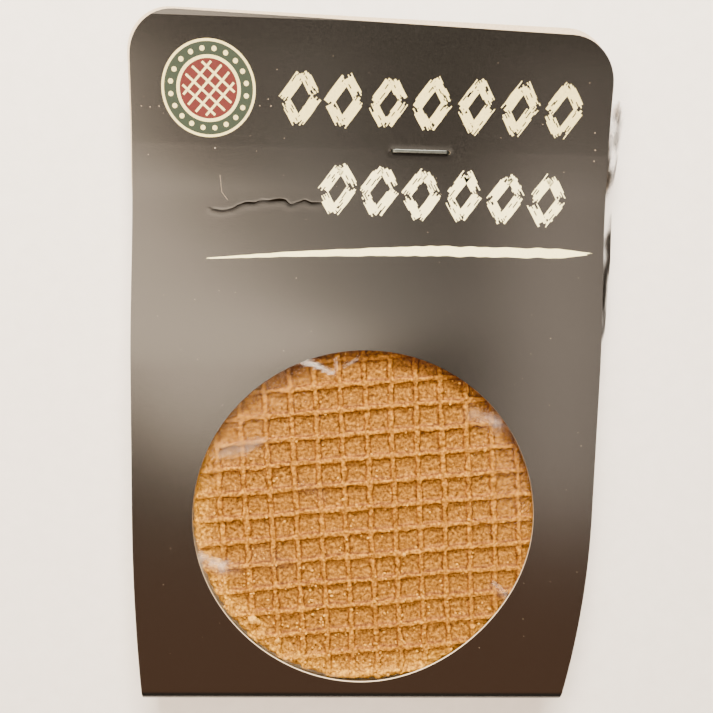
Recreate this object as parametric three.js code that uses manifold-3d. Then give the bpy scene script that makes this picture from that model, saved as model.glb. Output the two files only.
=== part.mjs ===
// A stroopwafel in its hanging pack. A strip of dark card is folded round a clear film bag that
// holds one waffle, and a staple joins the front panel, the bag's header and the back panel.
// Millimetres. +X is the pack's right, +Y its stapled top end and +Z its front. The pack lies on
// its back, and the origin is on the back panel's underside, below the centre of the window.
import * as THREE from 'three';
import { mergeVertices } from 'three/addons/utils/BufferGeometryUtils.js';
import Module from 'manifold-3d';

const wasm = await Module();
wasm.setup();

const gap = 0.3;                 // air left between two pieces that touch
const overrun = 2;               // how far a cutting shape is drawn past what it cuts
const weldDistance = 1e-4;       // corners nearer than this are one corner

// Card sleeve
const cardWidth = 105;
const cardThickness = 0.45;
const packDepth = 11.3;          // over both panels at the waffle
const foldY = -43.9;             // outer face of the folded bottom end
const foldRadius = 2.5;
const frontTopY = 109.3;         // front panel's top edge on the centre line
const frontTopSlant = 2.9;       // the right end of that edge is cut this much lower
const backTopY = 110.7;
const backTopSlant = 1.8;
const backDrift = 0.9;           // the back panel's top end stands this far to the left
const cornerRadius = 11;
const waistLeft = 2.0;           // how far the sides draw in at the fold
const waistRight = 5.2;
const waistLength = 45;
const windowRadius = 38.95;
const windowSides = 96;

// Side view of the two panels, as heights over the table
const frontBend = { from: 34, to: 74 };    // where the front panel comes down to the header
const frontHeaderZ = 8.5;
const backBend = { from: 38, to: 80 };     // where the back panel comes up to it
const backHeaderZ = 6.5;
const stapleY = 82.9;
const topRise = 2.3;                       // both panels curl up towards the top end
const topRiseLength = 26;
const foldSteps = 6;
const bendSteps = 10;

// Staple, a common 24/6
const stapleX = 10.5;
const crownWidth = 12.9;
const wireWidth = 0.8;
const wireThickness = 0.5;
const wireBend = 0.9;
const clinchLength = 3.9;
const legHole = 1.5;

// Waffle: two wafers with syrup between them
const waffleX = 0.7;
const waffleY = 0.6;
const waferRadius = 39.75;
const rimWobble = 0.22;
const rimWaves = [               // waves round the rim, with their share of the wobble
  { count: 3, share: 0.6, start: 1 },
  { count: 8, share: 0.4, start: 0 },
];
const rimRound = 0.7;
const waferThickness = 3.4;
const syrupRadius = 39.3;
const syrupThickness = 1.2;
const rimSides = 72;

// Grid pressed into both wafers
const rowAngle = 5.6;            // degrees, how far the rows turn from X
const columnAngle = 3.8;         // degrees, how far the columns turn from Y
const rowPitch = 5.75;
const columnPitch = 5.7;
const rowPhase = 0.42;           // place of one ridge's middle, in pitches from the origin
const columnPhase = 0.28;
const cellMouth = 0.76;          // share of the pitch that is open at the top of a cell
const cellFloor = 0.64;
const cellDepth = 0.8;

// Film bag
const filmWall = 0.3;
const filmClearance = 0.55;      // bag's outer skin to the waffle's widest rim
const bagHeaderThickness = 0.3;  // both layers of film together
const bagOpening = 39.4;         // round opening that shows the waffle's front
const bagRings = 7;
const bagEdgeStep = 12;          // rough distance between two points of the bag's edge
const panelMargin = 0.4;         // film to card, where both are bent
const bagHeaderY = 75;           // above this the two layers of film lie together
const cavityTopY = 70;
const cavityInset = 0.9;

const lift = cardThickness + gap + filmWall + gap;         // waffle's underside
const waffleTopZ = lift + 2 * waferThickness + 2 * gap + syrupThickness;

const ease = (t) => {
  const c = Math.min(Math.max(t, 0), 1);
  return c * c * (3 - 2 * c);
};

// Curves and solids

function toSolid(geometry) {
  const bare = geometry.index ? geometry.clone() : geometry;
  bare.deleteAttribute('normal');
  bare.deleteAttribute('uv');
  const merged = mergeVertices(bare, weldDistance);
  return new wasm.Manifold(new wasm.Mesh({
    numProp: 3,
    vertProperties: new Float32Array(merged.attributes.position.array),
    triVerts: new Uint32Array(merged.index.array),
  }));
}

function toGeometry(solid) {
  const { vertProperties, triVerts } = solid.getMesh();
  const geometry = new THREE.BufferGeometry();
  geometry.setAttribute('position', new THREE.BufferAttribute(vertProperties, 3));
  geometry.setIndex(new THREE.BufferAttribute(triVerts, 1));
  return geometry;
}

// Card sleeve

const panelRise = (y) => topRise * Math.max((y - stapleY) / topRiseLength, 0) ** 1.5;

// Outer face of each panel at a distance along the pack
function frontZ(y) {
  const down = ease((y - frontBend.from) / (frontBend.to - frontBend.from));
  return packDepth - (packDepth - frontHeaderZ) * down + panelRise(y);
}

function backZ(y) {
  return backHeaderZ * ease((y - backBend.from) / (backBend.to - backBend.from)) + panelRise(y);
}

const blend = (a, b, t) => a + (b - a) * t;
const steps = (from, to, count) => Array.from({ length: count }, (_, i) => blend(from, to, i / count));
const endY = Math.max(frontTopY, backTopY) + 2 * overrun;

// Extrudes an outline drawn in side view, Y across and Z up, over a width centred on the pack
function acrossPack(outline, width) {
  const sideView = new THREE.Matrix4().makeBasis(
    new THREE.Vector3(0, 1, 0), new THREE.Vector3(0, 0, 1), new THREE.Vector3(1, 0, 0),
  );
  return new THREE.ExtrudeGeometry(new THREE.Shape(outline), { depth: width, bevelEnabled: false })
    .translate(0, 0, -width / 2)
    .applyMatrix4(sideView);
}

// The sleeve's outer line in side view, from the back panel's top end round the fold to the front's
function outerLine() {
  const arc = (centreZ, startAngle) => steps(0, 1, foldSteps).concat(1).map((t) => {
    const angle = THREE.MathUtils.degToRad(startAngle - 90 * t);
    return new THREE.Vector2(
      foldY + foldRadius + foldRadius * Math.cos(angle),
      centreZ + foldRadius * Math.sin(angle),
    );
  });
  const curl = steps(stapleY, endY, bendSteps / 2).concat(endY);
  const back = [...curl.toReversed(), ...steps(backBend.to, backBend.from, bendSteps), backBend.from];
  const front = [...steps(frontBend.from, frontBend.to, bendSteps), frontBend.to, ...curl];
  return [
    ...back.map((y) => new THREE.Vector2(y, backZ(y))),
    ...arc(foldRadius, 270),
    ...arc(packDepth - foldRadius, 180),
    ...front.map((y) => new THREE.Vector2(y, frontZ(y))),
  ];
}

// The same line one card thickness further in
function innerLine(line) {
  const normals = line.slice(1).map((p, i) => {
    const along = p.clone().sub(line[i]).normalize();
    return new THREE.Vector2(along.y, -along.x);
  });
  return line.map((p, i) => {
    const before = normals[Math.max(i - 1, 0)];
    const after = normals[Math.min(i, normals.length - 1)];
    const mitre = before.clone().add(after).divideScalar(1 + before.dot(after));
    return p.clone().addScaledVector(mitre, cardThickness);
  });
}

// Plan of one panel, with its waist at the fold and its two rounded corners at the top end
function panelPlan(topY, slant, drift) {
  const half = cardWidth / 2;
  const waistEnd = foldY + waistLength;
  const left = topY + slant / 2;
  const right = topY - slant / 2;
  const fall = (slant / cardWidth) * cornerRadius;
  const r = cornerRadius;
  const plan = new THREE.Shape();
  plan.moveTo(half - waistRight, foldY - overrun);
  plan.lineTo(half - waistRight, foldY);
  plan.quadraticCurveTo(half, blend(foldY, waistEnd, 0.5), half, waistEnd);
  plan.lineTo(half - drift, right - r);
  plan.quadraticCurveTo(half - drift, right, half - drift - r, right + fall);
  plan.lineTo(-half - drift + r, left - fall);
  plan.quadraticCurveTo(-half - drift, left, -half - drift, left - r);
  plan.lineTo(-half, waistEnd);
  plan.quadraticCurveTo(-half, blend(foldY, waistEnd, 0.5), -half + waistLeft, foldY);
  plan.lineTo(-half + waistLeft, foldY - overrun);
  const settings = { depth: 4 * packDepth, bevelEnabled: false, curveSegments: 8 };
  return new THREE.ExtrudeGeometry(plan, settings).translate(0, 0, -packDepth);
}

// Everything in front of or behind the middle of the pack
function halfSpace(front) {
  const farZ = front ? 2 * packDepth : -packDepth / 2;
  const start = foldY - 2 * overrun;
  const end = endY + overrun;
  const middle = [start, ...steps(backBend.from, endY, bendSteps), end]
    .map((y) => new THREE.Vector2(y, (frontZ(y) + backZ(y)) / 2));
  const far = [end, start].map((y) => new THREE.Vector2(y, farZ));
  const outline = [...middle, ...far];
  return toSolid(acrossPack(front ? outline : outline.reverse(), 2 * cardWidth));
}

function cardSleeve() {
  const line = outerLine();
  const strip = toSolid(acrossPack([...innerLine(line), ...line.toReversed()], cardWidth + 2 * overrun));
  const front = halfSpace(true);
  const back = halfSpace(false);
  const window = new THREE.CylinderGeometry(windowRadius, windowRadius, packDepth, windowSides)
    .rotateX(Math.PI / 2)
    .translate(0, 0, packDepth);
  const trimmed = strip
    .subtract(front.subtract(toSolid(panelPlan(frontTopY, frontTopSlant, 0))))
    .subtract(back.subtract(toSolid(panelPlan(backTopY, backTopSlant, backDrift))));
  return toGeometry(pierce(trimmed.subtract(toSolid(window))));
}

// Staple

// The two holes that the staple's legs make through whatever it holds
function pierce(solid) {
  const reach = crownWidth / 2 - wireThickness / 2;
  return [-reach, reach].reduce((left, x) => {
    const hole = new THREE.BoxGeometry(legHole, legHole, packDepth);
    return left.subtract(toSolid(hole.translate(stapleX + x, stapleY, frontHeaderZ)));
  }, solid);
}

function staple() {
  const top = frontHeaderZ + gap + wireThickness;
  const low = backHeaderZ - gap - wireThickness;
  const half = crownWidth / 2;
  const inner = half - wireThickness;
  const r = wireBend;
  const ri = r - wireThickness;
  const wire = new THREE.Shape();
  wire.moveTo(half, top - r);
  wire.absarc(half - r, top - r, r, 0, Math.PI / 2, false);
  wire.absarc(-half + r, top - r, r, Math.PI / 2, Math.PI, false);
  wire.absarc(-half + r, low + r, r, Math.PI, 1.5 * Math.PI, false);
  wire.lineTo(-half + clinchLength, low);
  wire.lineTo(-half + clinchLength, low + wireThickness);
  wire.absarc(-half + r, low + r, ri, 1.5 * Math.PI, Math.PI, true);
  wire.absarc(-inner + ri, top - r, ri, Math.PI, Math.PI / 2, true);
  wire.absarc(inner - ri, top - r, ri, Math.PI / 2, 0, true);
  wire.absarc(half - r, low + r, ri, 0, -Math.PI / 2, true);
  wire.lineTo(half - clinchLength, low + wireThickness);
  wire.lineTo(half - clinchLength, low);
  wire.absarc(half - r, low + r, r, -Math.PI / 2, 0, false);
  return new THREE.ExtrudeGeometry(wire, { depth: wireWidth, bevelEnabled: false, curveSegments: 5 })
    .rotateX(Math.PI / 2)
    .translate(stapleX, stapleY + wireWidth / 2, 0);
}

// Waffle

// A disc with rounded rims that is a little out of round, as a cut waffle is
function waffleDisc(radius, thickness, round) {
  const profile = [
    [0, 0], [radius - round, 0], [radius, round], [radius, thickness - round],
    [radius - round, thickness], [0, thickness],
  ].map(([r, z]) => new THREE.Vector2(r, z));
  const disc = new THREE.LatheGeometry(profile, rimSides).rotateX(Math.PI / 2);
  const position = disc.attributes.position;
  for (let i = 0; i < position.count; i++) {
    const x = position.getX(i);
    const y = position.getY(i);
    const angle = Math.atan2(y, x);
    const wave = rimWaves.reduce((sum, w) => sum + w.share * Math.sin(w.count * angle + w.start), 0);
    const out = 1 + (rimWobble / radius) * wave;
    position.setXY(i, x * out, y * out);
  }
  return disc;
}

// Turns whole steps of the grid into places on the waffle
function gridFrame() {
  const row = THREE.MathUtils.degToRad(rowAngle);
  const column = THREE.MathUtils.degToRad(columnAngle);
  const skew = Math.cos(row - column);
  const alongRow = new THREE.Vector3(Math.cos(row), Math.sin(row), 0).multiplyScalar(columnPitch / skew);
  const alongColumn = new THREE.Vector3(-Math.sin(column), Math.cos(column), 0)
    .multiplyScalar(rowPitch / skew);
  return new THREE.Matrix4().makeBasis(alongRow, alongColumn, new THREE.Vector3(0, 0, 1));
}

// The four-sided recesses of one wafer's face, each a cut pyramid whose mouth is at the given height
function cells(mouthZ, upward) {
  const grid = gridFrame();
  const mouth = cellMouth * Math.SQRT1_2;
  const floor = cellFloor * Math.SQRT1_2;
  const past = (mouth - floor) * (gap / cellDepth);
  const out = upward ? 1 : -1;
  const reach = Math.ceil(waferRadius / rowPitch) + 1;
  const shapes = [];
  for (let i = -reach; i <= reach; i++) {
    for (let j = -reach; j <= reach; j++) {
      const middle = new THREE.Vector3(i + columnPhase + 0.5, j + rowPhase + 0.5, 0);
      const cell = new THREE.CylinderGeometry(mouth + past, floor, cellDepth + gap, 4)
        .rotateY(Math.PI / 4)
        .rotateX((out * Math.PI) / 2)
        .translate(middle.x, middle.y, 0)
        .applyMatrix4(grid)
        .translate(0, 0, mouthZ + (out * (gap - cellDepth)) / 2);
      middle.applyMatrix4(grid);
      const distance = Math.hypot(middle.x - waffleX, middle.y - waffleY);
      if (distance < waferRadius + columnPitch / 3) shapes.push(cell);
    }
  }
  return shapes;
}

function wafer(bottomZ, gridUp) {
  const disc = waffleDisc(waferRadius, waferThickness, rimRound).translate(waffleX, waffleY, bottomZ);
  const mouthZ = gridUp ? bottomZ + waferThickness : bottomZ;
  return toGeometry(cells(mouthZ, gridUp).reduce(
    (solid, cell) => solid.subtract(toSolid(cell)), toSolid(disc),
  ));
}

function syrupLayer() {
  const z = lift + waferThickness + gap;
  return waffleDisc(syrupRadius, syrupThickness, syrupThickness / 3).translate(waffleX, waffleY, z);
}

// Film bag

// Plan of the bag, anticlockwise from the bottom right corner. The right edge stands out of the sleeve.
const bagOutline = [
  [46.3, -42.2], [52, 25], [55.2, 44], [55.2, 60], [54.3, bagHeaderY], [56.3, 95.2],
  [-52.7, 95.2], [-52.4, bagHeaderY], [-52.4, 60], [-51.4, 25], [-49.5, -42.2],
];

// Points a few millimetres apart round the bag, or round its cavity, which ends below the header
function bagEdge(isCavity) {
  const inset = isCavity ? cavityInset : 0;
  const kept = bagOutline.filter(([, y]) => !isCavity || y <= bagHeaderY);
  const corners = kept.map(([x, y]) => new THREE.Vector2(
    x - Math.sign(x) * inset,
    Math.min(y < 0 ? y + inset / 2 : y, isCavity ? cavityTopY : Infinity),
  ));
  return corners.flatMap((corner, i) => {
    const next = corners[(i + 1) % corners.length];
    const count = Math.max(Math.round(corner.distanceTo(next) / bagEdgeStep), 1);
    return steps(0, 1, count).map((t) => corner.clone().lerp(next, t));
  });
}

// A pillow over the waffle: flat over the disc, then down to the edge, and never through a panel
function pillow(isCavity) {
  const skin = isCavity ? filmWall : 0;
  const discRadius = waferRadius + rimWobble + filmClearance - skin;
  const edge = bagEdge(isCavity);
  const edgeHalf = bagHeaderThickness / 2 - skin / 3;
  const topLimit = (y) => frontZ(y) - cardThickness - panelMargin - skin;
  const lowLimit = (y) => backZ(y) + cardThickness + panelMargin + skin;
  const middleZ = (y) => (frontZ(y) + backZ(y)) / 2;
  const discTop = waffleTopZ + gap + filmWall - skin;
  const discLow = lift - gap - filmWall + skin;

  const points = [];
  const rings = [];
  for (const upper of [true, false]) {
    const limit = (y, z) => (upper ? Math.min(z, topLimit(y)) : Math.max(z, lowLimit(y)));
    const discZ = upper ? discTop : discLow;
    points.push([waffleX, waffleY, discZ]);
    const sheet = [[points.length - 1]];
    for (let k = 0; k <= bagRings; k++) {
      const t = k / bagRings;
      sheet.push(edge.map((end) => {
        const out = new THREE.Vector2(end.x - waffleX, end.y - waffleY);
        const rim = out.clone().setLength(discRadius);
        const x = waffleX + blend(rim.x, out.x, t);
        const y = waffleY + blend(rim.y, out.y, t);
        const edgeZ = middleZ(y) + (upper ? edgeHalf : -edgeHalf);
        points.push([x, y, limit(y, blend(discZ, edgeZ, t))]);
        return points.length - 1;
      }));
    }
    rings.push(sheet);
  }

  const faces = [];
  const n = edge.length;
  rings.forEach(([centre, ...sheet], side) => {
    const add = (a, b, c) => faces.push(side === 0 ? [a, b, c] : [a, c, b]);
    for (let i = 0; i < n; i++) {
      const j = (i + 1) % n;
      add(centre[0], sheet[0][i], sheet[0][j]);
      for (let k = 0; k < bagRings; k++) {
        add(sheet[k][i], sheet[k + 1][i], sheet[k + 1][j]);
        add(sheet[k][i], sheet[k + 1][j], sheet[k][j]);
      }
    }
  });
  const [topRim, lowRim] = rings.map((sheet) => sheet.at(-1));
  for (let i = 0; i < n; i++) {
    const j = (i + 1) % n;
    faces.push([topRim[i], lowRim[i], lowRim[j]], [topRim[i], lowRim[j], topRim[j]]);
  }
  const geometry = new THREE.BufferGeometry();
  geometry.setAttribute('position', new THREE.Float32BufferAttribute(points.flat(), 3));
  geometry.setIndex(faces.flat());
  return geometry;
}

function filmBag() {
  const opening = new THREE.CylinderGeometry(bagOpening, bagOpening, packDepth, windowSides)
    .rotateX(Math.PI / 2)
    .translate(0, 0, packDepth);
  const shell = toSolid(pillow(false)).subtract(toSolid(pillow(true)));
  return toGeometry(pierce(shell.subtract(toSolid(opening))));
}

// The object

function piece(name, geometry, look) {
  const mesh = new THREE.Mesh(geometry, new THREE.MeshStandardMaterial(look));
  mesh.name = name;
  return mesh;
}

const wafflePack = new THREE.Group();
wafflePack.add(
  piece('card_sleeve', cardSleeve(), { color: 0x2b231e, roughness: 0.42, metalness: 0 }),
  piece('film_bag', filmBag(), {
    color: 0xe6e8ea, roughness: 0.12, metalness: 0, transparent: true, opacity: 0.3,
  }),
  piece('wafer_front', wafer(waffleTopZ - waferThickness, true), {
    color: 0xc1812f, roughness: 0.8, metalness: 0,
  }),
  piece('syrup_layer', syrupLayer(), { color: 0x7d4316, roughness: 0.3, metalness: 0 }),
  piece('wafer_back', wafer(lift, false), { color: 0xb87a2e, roughness: 0.8, metalness: 0 }),
  piece('staple', staple(), { color: 0x9a9f9a, roughness: 0.35, metalness: 1 }),
);

export default wafflePack;
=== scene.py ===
# A stroopwafel in its stapled card sleeve and film bag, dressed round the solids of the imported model.
# Pieces are shaped in millimetres and brought to metres when they are finished.
import math
import random

import bpy
import numpy as np
from mathutils import Matrix, Vector, noise


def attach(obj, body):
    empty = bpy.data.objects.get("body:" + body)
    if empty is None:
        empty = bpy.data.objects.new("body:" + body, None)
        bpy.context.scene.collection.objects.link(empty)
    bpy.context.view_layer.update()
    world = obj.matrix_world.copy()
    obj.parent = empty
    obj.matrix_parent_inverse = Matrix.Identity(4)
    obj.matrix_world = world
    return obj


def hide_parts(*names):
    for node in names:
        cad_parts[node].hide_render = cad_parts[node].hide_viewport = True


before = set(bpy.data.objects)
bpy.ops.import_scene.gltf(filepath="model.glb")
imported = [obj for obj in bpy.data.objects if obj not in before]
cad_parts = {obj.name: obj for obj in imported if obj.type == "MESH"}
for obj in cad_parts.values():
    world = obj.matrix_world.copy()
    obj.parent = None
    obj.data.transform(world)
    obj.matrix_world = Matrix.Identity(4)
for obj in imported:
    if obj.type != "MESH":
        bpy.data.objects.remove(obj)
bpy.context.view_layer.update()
bpy.context.tool_settings.mesh_select_mode = (False, False, True)  # mesh tools select faces

MM = 0.001

# Card sleeve, in millimetres
CARD_WIDTH = 105
CARD_THICKNESS = 0.45
PACK_DEPTH = 11.3
FOLD_Y = -43.9
FOLD_RADIUS = 2.5
FRONT_TOP_Y = 109.3
FRONT_TOP_SLANT = 2.9
BACK_TOP_Y = 110.7
BACK_TOP_SLANT = 1.8
BACK_DRIFT = 0.9
CORNER_RADIUS = 9.8
WAIST_LEFT = 2.0
WAIST_RIGHT = 5.2
WAIST_LENGTH = 45
WINDOW_RADIUS = 38.95

# Mesh of the flat blank, and the punches that cut it
BLANK_CELLS = (60, 400)
BLANK_MARGIN = 1.06
DIE_DEPTH = 4

# Where both panels slope to the flat header, its heights, and the curl of its top end
FRONT_BEND = (34, 74)
FRONT_HEADER_Z = 8.5
BACK_BEND = (38, 80)
BACK_HEADER_Z = 6.5
TOP_RISE = 2.3
TOP_RISE_LENGTH = 26
RISE_ONSET = 0.12

# The slow bend back of the front header, which only the bump of the print shows
HEADER_BEND_BACK = 3.0
BEND_BACK_POWER = 1.6
HEADER_LEAN = 1.7
HEADER_LEAN_Y = (58, 104)

# Staple, drawn flatter on to the card than the solid, and the dent that it presses
STAPLE_X = 10.5
STAPLE_Y = 82.9
CROWN_WIDTH = 12.9
WIRE_WIDTH = 0.5
WIRE_ROUNDING = 0.14
LEG_HOLE_RADIUS = 0.5
STAPLE_PRESS = 0.75
STAPLE_SINK = 0.05
DENT_DEPTH = 0.1
DENT_REACH = (0.6, 0.9)

# The crack runs across the panel beside the lower row of the print. Points are places on the panel.
CRACK = [
    (-34.8, 69.4), (-32.9, 69.1), (-30.5, 69.6), (-29.2, 70.4), (-27.7, 70.9),
    (-25.7, 70.9), (-24.2, 71.6), (-22.6, 71.4), (-20.7, 71.7), (-19.1, 71.7),
    (-18.0, 70.7), (-15.5, 71.5), (-14.8, 71.8), (-13.4, 71.2), (-11.4, 71.3),
]
GROOVE_DEPTH = 0.04
GROOVE_WIDTH = 0.25
LIP_HEIGHT = 0.02
LIP_OFFSET = 0.8
LIP_WIDTH = 0.6

# Its widest, torn-open stretches show as dark slits, near-black sheets laid on the panel as painted shade
# inside the crack: both ends in plan and the width
CRACK_SHADE_SLITS = [
    ((-31.6, 69.3), (-28.2, 70.6), 0.2), ((-29.4, 70.2), (-24.6, 71.1), 0.42),
    ((-23.6, 71.45), (-17.4, 71.55), 0.6), ((-17.2, 71.1), (-10.6, 71.5), 0.36),
]
SLIT_HEIGHT = 0.01

# Parts of the front panel with a finer mesh: from and to across, from and to along the pack
CRACK_ZONE = (-38, -8, 66, 75)
STAPLE_ZONE = (0, 21, 79, 87)
ZONE_CUTS = 5

# Print on the front panel
INK_HEIGHT = 0.02
INK_THICKNESS = 0.02
STROKE_WIDTH = 2.3
STROKE_STEP = 0.55
STROKE_WAVER = 0.10
BRISTLES = 9
LOZENGE_LEAN = 0.7
LOZENGE_SKEW = 0.4
LOZENGE_SHARE = 0.36
LOZENGE_NUDGE = 0.3
UNDERLINE = [(-36.1, 58.5), (-15.6, 60.0), (13.3, 61.3), (42.6, 61.4), (49.9, 61.5)]
UNDERLINE_WIDTH = [0.25, 1.2, 2.2, 2.1, 0.3]
BADGE = Vector((-35.8, 94.8))
BADGE_RADIUS = 10.1
BADGE_RINGS = ((9.55, "cream"), (6.9, "green"), (6.2, "cream"), (0.4, "red"))
INSET_STEP = 0.8
BADGE_DOTS = 20
DOT_RADIUS = 0.55
DOT_RING = 8.2
LATTICE_RADIUS = 5.6
LATTICE_WIDTH = 0.5
LATTICE_TURNS = (49, -41)
LATTICE_OFFSETS = (-3.2, -1.07, 1.07, 3.2)
SCRATCH = [(-33.4, 76.7), (-33.0, 73.0), (-31.7, 71.4)]
SCRATCH_WIDTH = 0.09
SCUFFS = [
    (-50.3, 90.8), (-48.4, 90.6), (-46.5, 90.9), (-24.8, 91.6), (-23.0, 93.0), (-22.4, 91.6),
    (-17.4, 91.6), (-15.4, 91.6), (-34.5, 82.4), (49.2, 88.1), (49.5, 84.4), (49.4, 82.0),
]
FINE_FLECKS = 90

# Waffle
WAFFLE_SPOT = np.array((0.7, 0.6))
WAFER_RADIUS = 39.75
WAFER_THICKNESS = 3.4
WAFER_FRONT_TOP = 9.95
WAFER_BACK_LOW = 1.35
ROW_ANGLE = 5.6
COLUMN_ANGLE = 3.8
ROW_PITCH = 5.75
COLUMN_PITCH = 5.7
ROW_PHASE = 0.42
COLUMN_PHASE = 0.28
CELL_DEPTH = 0.85
RIDGE_HALF = 0.36
RIDGE_SLOPE = 0.6
ROW_WEAR = 0.1
COLUMN_WEAR = 0.22
RIM_FALL = 0.7
RIM_ROUNDING = 1.1
SIDE_DROPS = (0.5, 0.7, 0.7, 0.6)
SIDE_TOP = -1.15
FRONT_WAFER_SEED = 3
SYRUP_RADIUS = 39.2
SYRUP_THICKNESS = 1.7
SYRUP_MIDDLE_Z = 5.65
SYRUP_ROUNDING = 0.5

# Crumbs on the waffle, the largest ones with their place and radius
CRUMB_SPOTS = 420
BIG_CRUMBS = [
    ((-25.3, -24.3), 1.15), ((-24.0, -25.4), 0.8), ((-19.5, -29.5), 0.6),
    ((9.5, -8.5), 0.5), ((-7.6, -17.9), 0.55),
]

# Film bag: its heights, and its long edges as pairs of a place along the pack and one across it
FILM_TOP = 10.5
FILM_LOW = 0.8
FILM_MARGIN = 0.1
FILM_SEAM = 0.06
BAG_RIGHT = ((-42.2, 46.3), (25, 52), (44, 55.2), (60, 55.2), (75, 54.3), (95.2, 56.3))
BAG_LEFT = ((-42.2, -49.5), (25, -51.4), (60, -52.4), (75, -52.4), (95.2, -52.7))
BAG_LOW_Y = -42.2
BAG_TOP_Y = 95.2

# Folds of the film over the waffle: both ends in plan, height, half width and whiteness, a painted
# highlight for their glare
FILM_FOLDS = [
    ((-14.8, 36.1), (-11.3, 35.1), 0.15, 0.4, 1.1), ((-11.3, 35.1), (-7.7, 33.3), 0.15, 0.35, 1.0),
    ((-7.0, 36.8), (-6.6, 33.4), 0.15, 0.3, 0.15), ((-5.6, 34.6), (-2.2, 36.8), 0.1, 0.3, 0.2),
    ((-37.3, -9.6), (-32.3, -12.3), 0.2, 1.3, 0.75), ((-32.6, -11.0), (-29.3, -12.0), 0.1, 1.6, 0.35),
    ((23.4, 24.8), (29.0, 22.6), 0.15, 1.6, 0.3), ((30.2, -15.5), (33.6, -18.3), 0.2, 0.8, 0.5),
    ((-31.6, 13.9), (-23.9, 16.3), 0.1, 2.2, 0.10), ((-14.1, 7.4), (-9.1, 5.1), 0.1, 1.6, 0.14),
    ((-23.7, -8.9), (-17.8, -10.3), 0.1, 2.2, 0.16),
]
RIM_FOLD = {"radius": 38.9, "from": 188, "to": 262, "steps": 8}

# Camera and lamps, in millimetres and degrees
CAMERA_PLACE = (-8.564, 54.039, 170.622)
CAMERA_TURN = (-5.957, -1.990, 1.301)
CAMERA_LENS = 36.353
LAMP_HEIGHT = 520
SLANTED_DISTANCE = 900


def ease(t):
    c = np.clip(t, 0, 1)
    return c * c * (3 - 2 * c)


def panel_rise(y):
    """How far the top end curls up, as a smooth form of the power 1.5."""
    t = np.maximum((np.asarray(y) - STAPLE_Y) / TOP_RISE_LENGTH, 0)
    return TOP_RISE * t * t * np.sqrt((1 + RISE_ONSET) / (t + RISE_ONSET))


def front_z(y):
    down = ease((np.asarray(y) - FRONT_BEND[0]) / (FRONT_BEND[1] - FRONT_BEND[0]))
    return PACK_DEPTH - (PACK_DEPTH - FRONT_HEADER_Z) * down + panel_rise(y)


def back_z(y):
    up = ease((np.asarray(y) - BACK_BEND[0]) / (BACK_BEND[1] - BACK_BEND[0]))
    return BACK_HEADER_Z * up + panel_rise(y)


# Modelling helpers


def deselect():
    if bpy.context.object and bpy.context.object.mode != "OBJECT":
        bpy.ops.object.mode_set(mode="OBJECT")
    bpy.ops.object.select_all(action="DESELECT")


def take_up(piece):
    deselect()
    piece.select_set(True)
    bpy.context.view_layer.objects.active = piece


def open_mesh(piece):
    """Takes a piece into edit mode with the whole of its mesh selected."""
    take_up(piece)
    bpy.ops.object.mode_set(mode="EDIT")
    bpy.ops.mesh.select_all(action="SELECT")


def close_mesh():
    bpy.ops.object.mode_set(mode="OBJECT")


def named(name):
    piece = bpy.context.object
    piece.name = name
    piece.data.name = name
    return piece


def settle(piece):
    take_up(piece)
    bpy.ops.object.transform_apply(location=True, rotation=True, scale=True)
    return piece


def apply_modifiers(piece):
    take_up(piece)
    for modifier in list(piece.modifiers):
        bpy.ops.object.modifier_apply(modifier=modifier.name)


def points(piece):
    flat = np.empty(len(piece.data.vertices) * 3)
    piece.data.vertices.foreach_get("co", flat)
    return flat.reshape(-1, 3)


def set_points(piece, places):
    piece.data.vertices.foreach_set("co", np.asarray(places, dtype=float).ravel())
    piece.data.update()


def join(name, pieces):
    deselect()
    for piece in pieces:
        piece.select_set(True)
    bpy.context.view_layer.objects.active = pieces[0]
    bpy.ops.object.join()
    return named(name)


def cut(piece, cutter, operation):
    take_up(piece)
    modifier = piece.modifiers.new("cut", "BOOLEAN")
    modifier.operation = operation
    modifier.solver = "MANIFOLD"
    modifier.object = cutter
    bpy.ops.object.modifier_apply(modifier=modifier.name)
    bpy.data.objects.remove(cutter)
    return piece


def face_out(piece):
    open_mesh(piece)
    bpy.ops.mesh.normals_make_consistent(inside=False)
    close_mesh()
    return piece


def face_up(piece):
    if sum(polygon.normal.z for polygon in piece.data.polygons) < 0:
        open_mesh(piece)
        bpy.ops.mesh.flip_normals()
        close_mesh()


def choose_faces(piece, wanted):
    """Selects the faces of a fresh mesh whose centres are wanted."""
    for polygon in piece.data.polygons:
        polygon.select = wanted(polygon.center)
    for edge in piece.data.edges:
        edge.select = False


def mark_points(piece, **masks):
    """Stores masks from 0 to 1 on a piece's points, for its material."""
    for label, values in masks.items():
        mask = piece.data.attributes.new(label, "FLOAT", "POINT")
        mask.data.foreach_set("value", values)


def finish_piece(piece, smooth_angle=30, replaced=()):
    settle(piece)
    piece.data.transform(Matrix.Scale(MM, 4))
    bpy.ops.object.shade_smooth_by_angle(angle=math.radians(smooth_angle))
    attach(piece, "root")
    if replaced:
        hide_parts(*replaced)
    return piece


def cloud(places, size, seed):
    """Smooth noise from about -1 to 1 at places, with lumps of a given size."""
    offset = Vector((seed * 17.3, seed * 5.1, seed * 9.7))
    return np.array([noise.noise(Vector(p) / size + offset) for p in places])


# Materials


def new_material(name):
    material = bpy.data.materials.new(name)
    material.use_nodes = True
    tree = material.node_tree
    return material, tree, tree.nodes["Principled BSDF"]


def add_node(tree, kind, **values):
    made = tree.nodes.new(kind)
    for key, value in values.items():
        if key in made.inputs:
            made.inputs[key].default_value = value
        else:
            setattr(made, key, value)
    return made


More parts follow.
